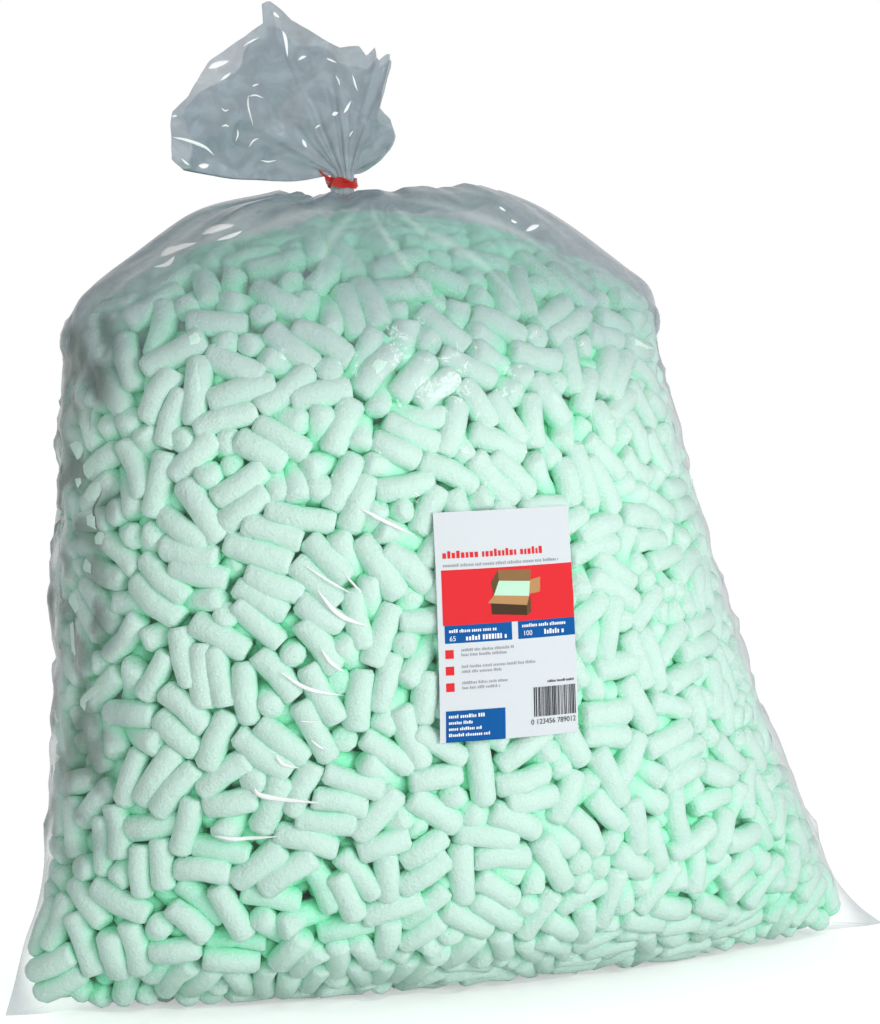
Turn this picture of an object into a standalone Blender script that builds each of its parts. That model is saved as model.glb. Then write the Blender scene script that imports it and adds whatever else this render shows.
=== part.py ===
"""A clear film bag of foam packing peanuts, gathered at the neck and tied.

Metres, +Z up. The bag stands on its flat base at z = 0 with its front towards -Y,
and the origin is the middle of the base.
"""

import math
import random
from collections import namedtuple

import bmesh
import bpy
import numpy as np
from mathutils import Matrix, Vector
from mathutils.bvhtree import BVHTree

# The filled bag, from the tips of its base's corners and from front to back, up to its neck.
BAG_WIDTH = 0.710
BAG_DEPTH = 0.342
NECK_HEIGHT = 0.567

# Film: its wall, its gathers with four points each, the depth of the deepest fold between two
# gathers below the neck, and how much the right shoulder stands above the left one.
FILM_WALL = 0.0002
GATHERS = 14
POINTS_PER_GATHER = 4
AROUND = GATHERS * POINTS_PER_GATHER
FOLD_DEPTH = 0.008
RIGHT_LIFT = 0.012

# The tied neck, where the gathered film is bunched.
NECK_X = -0.104
NECK_LENGTH = 0.012
NECK_RADIUS = 0.0090
NECK_GATHER = 0.0050

# A level section of the film tube: left and right are its reach in X, depth is half its thickness
# from front to back, point is 1 for an ellipse and 2 for a lens with sharp ends, lift is how much
# its right end stands above its left one, and gather is how deep the folds between gathers are.
Section = namedtuple("Section", "height left right depth point lift gather")


def bag_section(height, left, right, depth, point=1.0, lift=0.0, gather=0.0):
    """A section from shares of the neck's height, half the bag's width and half its depth."""
    return Section(
        NECK_HEIGHT * height,
        BAG_WIDTH / 2 * left,
        BAG_WIDTH / 2 * right,
        BAG_DEPTH / 2 * depth,
        point,
        RIGHT_LIFT * lift,
        FOLD_DEPTH * gather,
    )


# The filled body of the bag, from the base up to the neck.
BASE = bag_section(0.000, -1.000, 1.000, 0.34, point=2.00)
FOOT = bag_section(0.053, -0.977, 0.896, 0.71, point=1.70)
BELLY = bag_section(0.159, -0.918, 0.789, 0.92, point=1.30)
WAIST = bag_section(0.317, -0.890, 0.648, 1.00, point=1.00)
CHEST = bag_section(0.494, -0.882, 0.532, 0.99, point=0.95)
ARMPIT = bag_section(0.653, -0.873, 0.451, 0.94, point=0.95)
SHOULDER = bag_section(0.769, -0.865, 0.394, 0.85, point=0.95, lift=0.8, gather=0.1)
BROW = bag_section(0.868, -0.839, 0.372, 0.71, point=0.95, lift=1.0, gather=0.3)
CROWN = bag_section(0.954, -0.637, 0.152, 0.53, lift=0.7, gather=0.6)
DIMPLE = bag_section(0.993, -0.465, -0.056, 0.29, lift=0.8, gather=1.0)
NECK = Section(NECK_HEIGHT, NECK_X - NECK_RADIUS, NECK_X + NECK_RADIUS, NECK_RADIUS, 1.0, 0.0, NECK_GATHER)
BODY = (BASE, FOOT, BELLY, WAIST, CHEST, ARMPIT, SHOULDER, BROW, CROWN, DIMPLE, NECK)

# The film above the tie, spread as a fan that leans to the left. Each spoke of the fan gives its
# direction, in degrees up from +X, and its share of the ruffle's length.
RUFFLE_LENGTH = 0.135
Spoke = namedtuple("Spoke", "degrees share")
FAN = (
    Spoke(20, 0.20),
    Spoke(33, 0.36),
    Spoke(42, 0.39),
    Spoke(58, 0.40),
    Spoke(64, 0.64),
    Spoke(86, 0.67),
    Spoke(106, 0.76),
    Spoke(116, 0.96),
    Spoke(123, 0.87),
    Spoke(146, 0.93),
    Spoke(165, 1.00),
    Spoke(178, 0.96),
)
FAN_HALF_DEPTH = 0.030
FAN_FOLD = 0.007
FAN_BACK_SHARE = 0.93
FAN_STEPS = (0.10, 0.25, 0.45, 0.70, 1.00)

# The tie: a flat strip wound round the neck, with its two ends standing out at the front.
CLEARANCE = 0.0003
TIE_WIDTH = 0.0035
TIE_THICKNESS = 0.0010
TIE_PITCH = 0.0045
TIE_TURNS = 1.2
TIE_STEPS = 30
TIE_TAIL = 0.012
TAIL_STEPS = 3
TAIL_BEND = 1.3
TAIL_RISE = 0.4

# The label on the front of the bag, which leans to the left with the film.
LABEL_WIDTH = 0.102
LABEL_HEIGHT = 0.153
LABEL_THICKNESS = 0.0003
LABEL_X = -0.0535
LABEL_Z = 0.274
LABEL_LEAN = math.radians(1.0)

# Packing peanuts, the gap kept between two of them, and how many places are tried for one.
PEANUT_DIAMETER = 0.0175
PEANUT_LENGTH = 0.041
PEANUT_SIDES = 6
PEANUT_SHARES = (-0.5, -0.25, 0.0, 0.25, 0.5)
PEANUT_GAP = 0.0020
PEANUT_TRIES = 8000
SEED = 7

# The share of the peanuts that stand end on to the film, how far those may lean, and how often
# a peanut is moved in from the film.
PEANUTS_END_ON = 0.12
END_ON_LEAN = 0.4
SEATING_STEPS = 4

# The heap under the outer peanuts: its depth below the film and the points round it. Faces of
# the peanuts and the heap that meet at less than the flat angle are made one.
HEAP_DEPTH = 0.006
HEAP_AROUND = 20
FLAT_ANGLE = math.radians(0.5)


def clear_scene():
    for obj in list(bpy.data.objects):
        bpy.data.objects.remove(obj)


def add_material(obj, colour, roughness, alpha=1.0):
    material = bpy.data.materials.new(obj.name)
    material.use_nodes = True
    shader = material.node_tree.nodes["Principled BSDF"]
    shader.inputs["Base Color"].default_value = (*colour, 1.0)
    shader.inputs["Roughness"].default_value = roughness
    shader.inputs["Alpha"].default_value = alpha
    obj.data.materials.append(material)


def add_object(name, shape):
    """A named object in the scene from a bmesh."""
    mesh = bpy.data.meshes.new(name)
    shape.to_mesh(mesh)
    shape.free()
    obj = bpy.data.objects.new(name, mesh)
    bpy.context.scene.collection.objects.link(obj)
    return obj


def add_cutter(name, shape):
    """An object that only shapes its neighbours."""
    cutter = add_object(name, shape)
    cutter.hide_render = True
    cutter.display_type = "WIRE"
    return cutter


def add_boolean(obj, operation, other):
    boolean = obj.modifiers.new(operation.lower(), "BOOLEAN")
    boolean.operation = operation
    boolean.object = other


def bridge_rings(shape, rings):
    """Triangles between each ring of points and the next."""
    loops = [[shape.verts.new(point) for point in ring] for ring in rings]
    for low, high in zip(loops, loops[1:]):
        for index, corner in enumerate(low):
            after = (index + 1) % len(low)
            shape.faces.new((corner, high[after], low[after]))
            shape.faces.new((corner, high[index], high[after]))
    return loops


def add_closed(shape, rings):
    """A closed body through rings of points that run clockwise seen from the last ring."""
    loops = bridge_rings(shape, rings)
    shape.faces.new(loops[0])
    shape.faces.new(reversed(loops[-1]))
    shape.normal_update()


def closed_rings(rings):
    shape = bmesh.new()
    add_closed(shape, rings)
    return shape


def fold_wave(turn):
    """0 on the crest of a gather and 1 in the fold between two."""
    return (1 - math.cos(GATHERS * turn)) / 2


def section_point(section, turn, offset=0.0):
    """A point of the film at a section; turn runs from the right end round the front."""
    middle = (section.left + section.right) / 2
    reach = (section.right - section.left) / 2
    across, out = math.cos(turn), math.sin(turn)
    outward = Vector((across / reach, -out / section.depth, 0)).normalized()
    bulge = math.copysign(abs(out) ** section.point, out)
    height = section.height + section.lift * across / 2
    edge = Vector((middle + reach * across, -section.depth * bulge, height))
    return edge + outward * (offset - section.gather * fold_wave(turn))


def ring_of(section, offset=0.0, around=AROUND):
    """The points round a section, moved out by offset."""
    return [section_point(section, turn, offset) for turn in turns(around)]


def turns(around=AROUND):
    return [2 * math.pi * index / around for index in range(around)]


def body_rings(offset=0.0):
    return [ring_of(section, offset) for section in BODY]


def spoke_length(degrees):
    """The ruffle's length in a direction, straight between the spokes."""
    for first, second in zip(FAN, FAN[1:]):
        if degrees <= second.degrees:
            part = (degrees - first.degrees) / (second.degrees - first.degrees)
            return RUFFLE_LENGTH * (first.share + (second.share - first.share) * part)
    return RUFFLE_LENGTH * FAN[-1].share


def fan_point(turn, step):
    """A point of the ruffle, at a share of the way from the neck to its edge."""
    back = math.sin(turn) < 0
    half = (2 * math.pi - turn if back else turn) / math.pi
    degrees = FAN[0].degrees + (FAN[-1].degrees - FAN[0].degrees) * half
    length = spoke_length(degrees) * (FAN_BACK_SHARE if back else 1.0) * step
    angle = math.radians(degrees)
    start = section_point(NECK, turn) - Vector((NECK_X, 0, NECK_HEIGHT))
    spread = FAN_FOLD * fold_wave(turn) - FAN_HALF_DEPTH * math.sin(turn)
    away = Vector((length * math.cos(angle), step * spread, length * math.sin(angle)))
    return Vector((NECK_X, 0, NECK_HEIGHT + NECK_LENGTH)) + start * (1 - step) ** 2 + away


def make_film():
    """The bag: one skin of film from the flat base to the ruffle's edge, with a wall inside it."""
    shape = bmesh.new()
    rings = body_rings()
    rings.append([point + Vector((0, 0, NECK_LENGTH)) for point in rings[-1]])
    rings += [[fan_point(turn, step) for turn in turns()] for step in FAN_STEPS]
    loops = bridge_rings(shape, rings)
    shape.faces.new(loops[0])
    film = add_object("film_bag", shape)
    film.data.shade_smooth()
    wall = film.modifiers.new("wall", "SOLIDIFY")
    wall.thickness = FILM_WALL
    wall.offset = -1
    add_material(film, (0.62, 0.70, 0.73), 0.15, 0.35)


def depth_inside(tree, point):
    """How deep a point lies inside a closed shape."""
    nearest, normal, _, _ = tree.find_nearest(point)
    distance = (nearest - point).length
    return distance if (nearest - point).dot(normal) > 0 else -distance


def heap_section(section):
    """The section of the heap's inside, below the peanuts that lie against the film."""
    side = HEAP_DEPTH * section.point**1.5
    drop = HEAP_DEPTH if section.height > SHOULDER.height else 0.0
    floor = FILM_WALL + CLEARANCE
    return section._replace(
        height=max(section.height - drop, floor),
        left=section.left + side,
        right=section.right - side,
        depth=section.depth - HEAP_DEPTH,
        gather=0.0,
    )


def heap_body():
    return closed_rings([ring_of(heap_section(section), around=HEAP_AROUND) for section in BODY[:-1]])


def peanut_frame(normal, rng):
    """Axes for a peanut against the film: most lie flat on it and some stand end on."""
    along = normal.orthogonal().normalized()
    along.rotate(Matrix.Rotation(rng.uniform(0, math.pi), 3, normal))
    side = along.cross(normal)
    if rng.random() < PEANUTS_END_ON:
        along = (along * rng.uniform(0.0, END_ON_LEAN) + normal).normalized()
    return Matrix((side, along.cross(side), along)).transposed()


def peanut_rings(centre, turned, shares=(-0.5, 0.5)):
    """Sections along a peanut, at shares of its length from its middle."""
    radius = PEANUT_DIAMETER / 2
    rings = []
    for share in shares:
        ring = [(-radius * math.cos(turn), radius * math.sin(turn)) for turn in turns(PEANUT_SIDES)]
        rings.append([centre + turned @ Vector((*spot, share * PEANUT_LENGTH)) for spot in ring])
    return rings


def seat_peanut(skin, place, normal, turned):
    """The centre of a peanut moved in from the film until all of it is inside."""
    wanted = FILM_WALL + CLEARANCE
    centre = place - normal * (wanted + PEANUT_DIAMETER / 2 * math.cos(math.pi / PEANUT_SIDES))
    for _ in range(SEATING_STEPS):
        rings = peanut_rings(centre, turned, PEANUT_SHARES)
        depth = min(depth_inside(skin, point) for ring in rings for point in ring)
        centre -= normal * max(wanted - depth, 0.0)
    return centre if depth > wanted - CLEARANCE / 4 else None


def scatter_peanuts(skin_shape, skin, heap):
    """Centres and axes of peanuts all over the inside of the film, none touching another."""
    rng = random.Random(SEED)
    faces = [face for face in skin_shape.faces if len(face.verts) == 3]
    areas = [face.calc_area() for face in faces]
    reach = PEANUT_LENGTH / 2 - PEANUT_DIAMETER / 4
    spots = np.empty((0, 3))
    peanuts = []
    for face in rng.choices(faces, areas, k=PEANUT_TRIES):
        first, second = sorted((rng.random(), rng.random()))
        corners = [vert.co for vert in face.verts]
        place = corners[0] * first + corners[1] * (second - first) + corners[2] * (1 - second)
        turned = peanut_frame(face.normal, rng)
        centre = seat_peanut(skin, place, face.normal, turned)
        if centre is None or depth_inside(heap, centre) < -PEANUT_DIAMETER / 4:
            continue
        own = np.array([centre + turned.col[2] * reach * share * 2 for share in PEANUT_SHARES])
        gaps = np.linalg.norm(spots[:, None] - own[None], axis=2)
        if len(spots) and gaps.min() < PEANUT_DIAMETER + PEANUT_GAP:
            continue
        spots = np.vstack((spots, own))
        peanuts.append((centre, turned))
    return peanuts


def make_peanuts():
    """The heap of peanuts: those against the film stand out of the heap's body."""
    skin_shape = closed_rings(body_rings())
    skin = BVHTree.FromBMesh(skin_shape)
    heap_shape = heap_body()
    heap = BVHTree.FromBMesh(heap_shape)
    shape = bmesh.new()
    for centre, turned in scatter_peanuts(skin_shape, skin, heap):
        add_closed(shape, peanut_rings(centre, turned))
    skin_shape.free()
    fill = add_object("peanut_fill", heap_shape)
    add_boolean(fill, "UNION", add_cutter("outer_peanuts", shape))
    flats = fill.modifiers.new("flats", "DECIMATE")
    flats.decimate_type = "DISSOLVE"
    flats.angle_limit = FLAT_ANGLE
    add_material(fill, (0.52, 0.80, 0.69), 0.8)


def offset_body(name, offset):
    """The filled body with its sides moved out, to cut the label's two faces with."""
    return add_cutter(name, closed_rings(body_rings(offset)))


def make_label():
    """A thin label that follows the front of the film, cut to its outline."""
    shape = bmesh.new()
    size = Matrix.Diagonal((LABEL_WIDTH, BAG_DEPTH, LABEL_HEIGHT, 1))
    lean = Matrix.Rotation(-LABEL_LEAN, 4, "Y")
    place = Matrix.Translation((LABEL_X, -BAG_DEPTH / 2, LABEL_Z))
    bmesh.ops.create_cube(shape, size=1.0, matrix=place @ lean @ size)
    label = add_object("front_label", shape)
    add_boolean(label, "INTERSECT", offset_body("label_face", CLEARANCE + LABEL_THICKNESS))
    add_boolean(label, "DIFFERENCE", offset_body("label_back", CLEARANCE))
    add_material(label, (0.85, 0.88, 0.90), 0.35)


def make_tie():
    """A flat strip wound round the neck, with both ends bent out at the front."""
    radius = NECK_RADIUS + CLEARANCE + TIE_THICKNESS / 2
    rise = TIE_PITCH * TIE_TURNS
    low = NECK_HEIGHT + (NECK_LENGTH - rise) / 2
    up = Vector((0, 0, 1))
    rings = []
    for step in range(-TAIL_STEPS, TIE_STEPS + TAIL_STEPS + 1):
        wound = min(max(step, 0), TIE_STEPS)
        past = (step - wound) / TAIL_STEPS
        share = wound / TIE_STEPS
        angle = 2 * math.pi * TIE_TURNS * (share - 0.5) + math.pi / 2
        outward = Vector((math.cos(angle), math.sin(angle), 0))
        along = Vector((-math.sin(angle), math.cos(angle), 0))
        centre = Vector((NECK_X, 0, low)) + up * rise * share + outward * radius
        centre += (along * past + (outward * TAIL_BEND + up * TAIL_RISE) * abs(past)) * TIE_TAIL
        inner = centre - outward * TIE_THICKNESS / 2
        outer = centre + outward * TIE_THICKNESS / 2
        half = up * TIE_WIDTH / 2
        rings.append([inner - half, outer - half, outer + half, inner + half])
    tie = add_object("neck_tie", closed_rings(rings))
    add_material(tie, (0.55, 0.02, 0.01), 0.4)


def main():
    clear_scene()
    make_film()
    make_tie()
    make_label()
    make_peanuts()


if __name__ == "__main__":
    main()
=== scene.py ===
"""The looks of a clear film bag of foam packing peanuts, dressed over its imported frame.

Metres, +Z up, with the front of the bag towards -Y.
"""

import math

import bpy
import numpy as np
from bpy.props import FloatProperty, FloatVectorProperty, IntProperty, PointerProperty
from mathutils import Matrix, Vector, bvhtree, kdtree


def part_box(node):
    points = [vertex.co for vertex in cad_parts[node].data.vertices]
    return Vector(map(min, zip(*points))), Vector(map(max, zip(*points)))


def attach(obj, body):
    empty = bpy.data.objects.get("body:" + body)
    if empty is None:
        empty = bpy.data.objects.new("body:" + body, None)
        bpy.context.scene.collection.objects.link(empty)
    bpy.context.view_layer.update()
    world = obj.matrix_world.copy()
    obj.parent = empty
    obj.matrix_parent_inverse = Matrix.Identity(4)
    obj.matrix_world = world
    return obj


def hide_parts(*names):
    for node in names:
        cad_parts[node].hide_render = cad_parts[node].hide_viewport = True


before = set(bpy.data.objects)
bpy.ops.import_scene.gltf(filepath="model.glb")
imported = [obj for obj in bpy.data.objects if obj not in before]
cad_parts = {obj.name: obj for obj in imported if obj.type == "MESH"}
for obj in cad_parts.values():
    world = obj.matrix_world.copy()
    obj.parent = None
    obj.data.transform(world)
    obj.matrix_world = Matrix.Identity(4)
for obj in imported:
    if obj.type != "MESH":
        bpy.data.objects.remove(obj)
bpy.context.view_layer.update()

bl_info = {
    "name": "Packing Peanut Bag",
    "version": (1, 0, 0),
    "blender": (4, 5, 0),
    "location": "View3D > Sidebar > Bag",
    "description": "A clear film bag of foam packing peanuts, with its tie, label and studio",
    "category": "Add Mesh",
}

# Sizes read from the frame: the filled bag, the middle of the tied neck and the label's middle.
FILM_LOW, FILM_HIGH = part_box("film_bag")
TIE_LOW, TIE_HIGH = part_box("neck_tie")
LABEL_LOW, LABEL_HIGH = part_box("front_label")
HALF_WIDTH = (FILM_HIGH.x - FILM_LOW.x) / 2
HALF_DEPTH = (FILM_HIGH.y - FILM_LOW.y) / 2
TIE_RISE = 0.0045
NECK = Vector(((TIE_LOW.x + TIE_HIGH.x) / 2, 0, TIE_LOW.z + TIE_RISE))
LABEL_MIDDLE = (LABEL_LOW + LABEL_HIGH) / 2

# The camera stands in front of the bag, a little to its left, and the lights point at its middle.
CAMERA_PLACE = Vector((-0.8384, -1.8198, 0.48))
CAMERA_TURN = math.radians(24)
CAMERA_DIP = math.radians(4.1)
SENSOR_WIDTH = 36
AIM = Vector((-0.05, 0, 0.28))

# Level sections of the filled film from its bottom seam up to the dimple under the neck: height as a
# share of the neck's, the left and right reach as shares of half the bag's width, half the depth as a
# share of the bag's, 1 for an ellipse and up to 2 for a lens, and how far the right end is lifted and
# how deep the gathers are, as shares of the most.
SECTIONS = (
    (0.000, -1.000, 1.000, 0.00, 2.00, 0.0, 0.0),
    (0.000, -1.000, 1.000, 0.34, 2.00, 0.0, 0.0),
    (0.030, -0.985, 0.935, 0.54, 1.60, 0.0, 0.0),
    (0.080, -0.962, 0.862, 0.78, 1.25, 0.0, 0.0),
    (0.159, -0.918, 0.789, 0.92, 1.10, 0.0, 0.0),
    (0.317, -0.890, 0.648, 1.00, 1.00, 0.0, 0.0),
    (0.494, -0.882, 0.532, 0.99, 0.95, 0.0, 0.0),
    (0.653, -0.873, 0.451, 0.94, 0.95, 0.0, 0.0),
    (0.769, -0.865, 0.394, 0.85, 0.95, 0.8, 0.1),
    (0.868, -0.839, 0.372, 0.71, 0.95, 1.0, 0.3),
    (0.952, -0.628, 0.145, 0.52, 1.00, 0.7, 0.6),
    (0.984, -0.435, -0.080, 0.26, 1.00, 0.8, 1.0),
)
RIGHT_LIFT = 0.012
NECK_RADIUS = 0.0085
NECK_LENGTH = 0.012

# The ruffle's rim: directions in degrees up from +X about the top of the neck, with the distance to
# the rim as a share of the ruffle's length.
RIM = (
    (9, 0.12), (26, 0.30), (34, 0.36), (40, 0.38), (46, 0.40), (53, 0.40), (58, 0.41), (62, 0.50),
    (65, 0.68), (67, 0.68), (70, 0.62), (73, 0.69), (76, 0.63), (81, 0.67), (90, 0.65), (99, 0.70),
    (106, 0.77), (111, 0.83), (115, 0.96), (118, 0.96), (121, 0.87), (130, 0.87), (138, 0.89),
    (144, 0.92), (151, 0.92), (157, 0.93), (163, 0.99), (167, 0.98), (172, 0.96), (177, 0.95), (180, 0.88),
)
RUFFLE_LENGTH = 0.135

# Sharp folds in the film, painted white along their middles as highlights, as (x, z) points on its front,
# with the width of each fold.
BODY_FOLD_HIGHLIGHTS = (
    (0.0030, ((-0.158, 0.356), (-0.139, 0.345), (-0.116, 0.334))),
    (0.0022, ((-0.192, 0.318), (-0.175, 0.306), (-0.160, 0.297))),
    (0.0040, ((-0.184, 0.302), (-0.169, 0.284), (-0.149, 0.275))),
    (0.0018, ((-0.167, 0.313), (-0.160, 0.304), (-0.154, 0.297))),
    (0.0030, ((-0.182, 0.263), (-0.174, 0.252), (-0.165, 0.245))),
    (0.0034, ((-0.208, 0.248), (-0.188, 0.235), (-0.164, 0.230))),
    (0.0014, ((-0.195, 0.214), (-0.187, 0.213), (-0.179, 0.214))),
    (0.0030, ((-0.208, 0.192), (-0.203, 0.185), (-0.192, 0.182))),
    (0.0042, ((-0.222, 0.170), (-0.213, 0.163), (-0.176, 0.158))),
    (0.0034, ((-0.244, 0.136), (-0.228, 0.134), (-0.202, 0.136))),
    (0.0018, ((-0.187, 0.202), (-0.182, 0.197), (-0.177, 0.194))),
    (0.0050, ((-0.224, 0.534), (-0.213, 0.539), (-0.203, 0.541))),
    (0.0030, ((-0.218, 0.530), (-0.209, 0.533), (-0.200, 0.537))),
    (0.0042, ((-0.250, 0.519), (-0.240, 0.525), (-0.228, 0.529))),
    (0.0026, ((-0.258, 0.512), (-0.250, 0.514), (-0.243, 0.520))),
    (0.0024, ((-0.018, 0.555), (-0.016, 0.554), (-0.013, 0.552))),
    (0.0026, ((-0.011, 0.546), (-0.009, 0.545), (-0.006, 0.544))),
    (0.0040, ((-0.001, 0.538), (0.007, 0.541), (0.015, 0.543))),
)
# The same painted fold highlights on the ruffle.
RUFFLE_FOLD_HIGHLIGHTS = (
    (0.0040, ((-0.156, 0.677), (-0.152, 0.670), (-0.150, 0.658))),
    (0.0050, ((-0.208, 0.649), (-0.201, 0.652), (-0.192, 0.655))),
    (0.0024, ((-0.199, 0.641), (-0.195, 0.644), (-0.191, 0.647))),
    (0.0016, ((-0.185, 0.664), (-0.179, 0.668), (-0.173, 0.671))),
    (0.0026, ((-0.142, 0.657), (-0.139, 0.659), (-0.136, 0.660))),
    (0.0016, ((-0.175, 0.638), (-0.173, 0.639), (-0.170, 0.640))),
    (0.0014, ((-0.178, 0.633), (-0.178, 0.623), (-0.173, 0.610))),
    (0.0014, ((-0.178, 0.631), (-0.173, 0.632), (-0.167, 0.630))),
    (0.0016, ((-0.184, 0.609), (-0.183, 0.605), (-0.184, 0.600))),
    (0.0026, ((-0.234, 0.602), (-0.222, 0.600), (-0.206, 0.596), (-0.198, 0.590))),
    (0.0018, ((-0.226, 0.588), (-0.222, 0.585), (-0.218, 0.583))),
    (0.0044, ((-0.212, 0.583), (-0.207, 0.583), (-0.203, 0.584))),
    (0.0036, ((-0.117, 0.620), (-0.114, 0.621), (-0.111, 0.622))),
    (0.0034, ((-0.137, 0.603), (-0.135, 0.600), (-0.133, 0.597))),
    (0.0018, ((-0.102, 0.649), (-0.099, 0.643), (-0.096, 0.637))),
    (0.0016, ((-0.129, 0.610), (-0.126, 0.612), (-0.123, 0.613))),
    (0.0018, ((-0.234, 0.615), (-0.232, 0.616), (-0.230, 0.616))),
    (0.0014, ((-0.197, 0.623), (-0.194, 0.621), (-0.191, 0.622))),
    (0.0016, ((-0.196, 0.610), (-0.193, 0.611), (-0.190, 0.610))),
    (0.0014, ((-0.175, 0.596), (-0.172, 0.601), (-0.168, 0.603))),
    (0.0030, ((-0.108, 0.621), (-0.104, 0.626), (-0.101, 0.631))),
    (0.0016, ((-0.122, 0.659), (-0.118, 0.658), (-0.113, 0.656))),
    (0.0026, ((-0.163, 0.689), (-0.161, 0.687), (-0.158, 0.685))),
    (0.0014, ((-0.103, 0.605), (-0.101, 0.607), (-0.099, 0.610))),
    (0.0014, ((-0.114, 0.648), (-0.112, 0.644), (-0.111, 0.640))),
    (0.0014, ((-0.166, 0.588), (-0.160, 0.587), (-0.154, 0.588))),
)
# Long pleats that run out from the tie, with a faint painted highlight, milky rather than white.
PLEAT_STRENGTH = 0.12
PLEATS = (
    (0.0114, ((-0.113, 0.560), (-0.115, 0.541), (-0.090, 0.496), (-0.060, 0.459))),
    (0.0143, ((-0.118, 0.560), (-0.173, 0.545), (-0.229, 0.520))),
    (0.0114, ((-0.116, 0.560), (-0.149, 0.530), (-0.167, 0.496))),
    (0.0143, ((-0.098, 0.560), (-0.067, 0.555), (-0.004, 0.535), (0.051, 0.497))),
    (0.0133, ((-0.104, 0.560), (-0.088, 0.540), (-0.045, 0.515), (-0.010, 0.470))),
    (0.0133, ((-0.122, 0.560), (-0.190, 0.550), (-0.262, 0.505))),
)


def size_setting(name, description, default):
    return FloatProperty(name=name, description=description, default=default, unit="LENGTH")


def power_setting(name, description, default):
    return FloatProperty(name=name, description=description, default=default, unit="POWER")


def colour_setting(name, description, default):
    return FloatVectorProperty(name=name, description=description, default=default, subtype="COLOR")


class PeanutSettings(bpy.types.PropertyGroup):
    count: IntProperty(name="Count", description="Peanuts in the bag", default=4900, min=1)
    diameter: size_setting("Diameter", "Thickness of a peanut", 0.0175)
    length: size_setting("Length", "Usual length of a peanut", 0.041)
    spread: size_setting("Spread", "Most that a length differs from the usual", 0.007)
    seed: IntProperty(name="Seed", description="Another heap for each number", default=5)
    outer_colour: colour_setting("Outer Colour", "Foam in the light", (0.61, 0.83, 0.745))
    # Painted shade: the saturated green that foam takes in the shaded gaps deep in the heap.
    painted_shade_colour: colour_setting("Inner Colour", "Foam deep in the heap", (0.24, 0.97, 0.60))


class FilmSettings(bpy.types.PropertyGroup):
    columns: IntProperty(name="Columns", description="Faces round the film", default=320, min=40)
    fold_depth: size_setting("Fold Depth", "Depth of the gathers below the neck", 0.005)
    crumple: size_setting("Crumple", "How far the ruffle is crumpled", 0.0075)
    haze_colour: colour_setting("Haze Colour", "Milky colour of folded film", (0.232, 0.288, 0.330))


class LabelSettings(bpy.types.PropertyGroup):
    width: size_setting("Width", "Width of the label", 0.102)
    height: size_setting("Height", "Height of the label", 0.153)
    lean: FloatProperty(
        name="Lean", description="Lean to the left", default=math.radians(1.0), subtype="ANGLE"
    )
    red: colour_setting("Red", "Red print", (0.72, 0.028, 0.036))
    blue: colour_setting("Blue", "Blue print", (0.003, 0.095, 0.33))


class TieSettings(bpy.types.PropertyGroup):
    width: size_setting("Width", "Width of the strip", 0.0038)
    thickness: size_setting("Thickness", "Thickness of the strip", 0.0009)
    turns: FloatProperty(name="Turns", description="Turns round the neck", default=2.2)
    colour: colour_setting("Colour", "Colour of the strip", (0.62, 0.012, 0.006))


class StageSettings(bpy.types.PropertyGroup):
    lens: FloatProperty(name="Lens", description="Focal length of the camera", default=96.68, unit="CAMERA")
    sky: FloatProperty(name="Sky", description="Strength of the light from all round", default=0.50)
    key: power_setting("Key", "Power of the main light", 21.0)
    fill: power_setting("Fill", "Power of the light from the front", 15.0)
    back: power_setting("Back", "Power of the light behind the bag", 22.0)
    glint: power_setting("Glint", "Power of the light that the film mirrors", 5.0)


SETTINGS = {
    "bag_peanuts": PeanutSettings,
    "bag_film": FilmSettings,
    "bag_label": LabelSettings,
    "bag_tie": TieSettings,
    "bag_stage": StageSettings,
}


def deselect_all():
    bpy.ops.object.select_all(action="DESELECT")
    bpy.context.view_layer.objects.active = None


def dress(obj, name, slot, *stands_for):
    """Names a finished piece, fixes it to the frame and hides the solids it stands for."""
    obj.name = name
    obj.data.name = name
    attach(obj, "root")
    if stands_for:
        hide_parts(*stands_for)
    return obj


def smooth_step(value, low, high):
    share = np.clip((value - low) / (high - low), 0, 1)
    return share * share * (3 - 2 * share)


def store(mesh, name, values):
    """Keeps one number for each vertex, for a material to read."""
    attribute = mesh.attributes.new(name, "FLOAT", "POINT")
    attribute.data.foreach_set("value", np.asarray(values, np.float32).ravel())


def points_of(mesh):
    points = np.empty(len(mesh.vertices) * 3)
    mesh.vertices.foreach_get("co", points)
    return points.reshape(-1, 3)


def move_points(mesh, points):
    mesh.vertices.foreach_set("co", np.asarray(points, np.float32).ravel())
    mesh.update()


def spline_rows(rows, steps):
    """Rows of numbers on a smooth curve through the given rows, steps to each stretch."""
    rows = np.array(rows, float)
    rows = np.vstack((2 * rows[0] - rows[1], rows, 2 * rows[-1] - rows[-2]))
    made = []
    for index in range(1, len(rows) - 2):
        before, start, end, after = rows[index - 1 : index + 3]
        share = np.linspace(0, 1, steps[index - 1], endpoint=False)[:, None]
        linear = (end - before) * share
        square = (2 * before - 5 * start + 4 * end - after) * share**2
        cube = (3 * start - before - 3 * end + after) * share**3
        made.append((2 * start + linear + square + cube) / 2)
    return np.vstack((*made, rows[-2:-1]))


def film_sections(step):
    """Sections in metres, a step apart in height or depth, from the bottom seam to the neck."""
    size = np.array((NECK.z - NECK_LENGTH / 2, HALF_WIDTH, HALF_WIDTH, HALF_DEPTH, 1, RIGHT_LIFT, 1))
    rows = np.array(SECTIONS) * size
    neck = (size[0], NECK.x - NECK_RADIUS, NECK.x + NECK_RADIUS, NECK_RADIUS, 1, 0, 0.4)
    rows = np.vstack((rows, neck))
    reach = np.abs(np.diff(rows[:, :4], axis=0)).max(axis=1)
    sections = spline_rows(rows, np.maximum(np.ceil(reach / step).astype(int), 2))
    sections[:, 0] = np.maximum(sections[:, 0], 0)
    sections[:, 3] = np.maximum(sections[:, 3], 0)
    return sections


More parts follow.
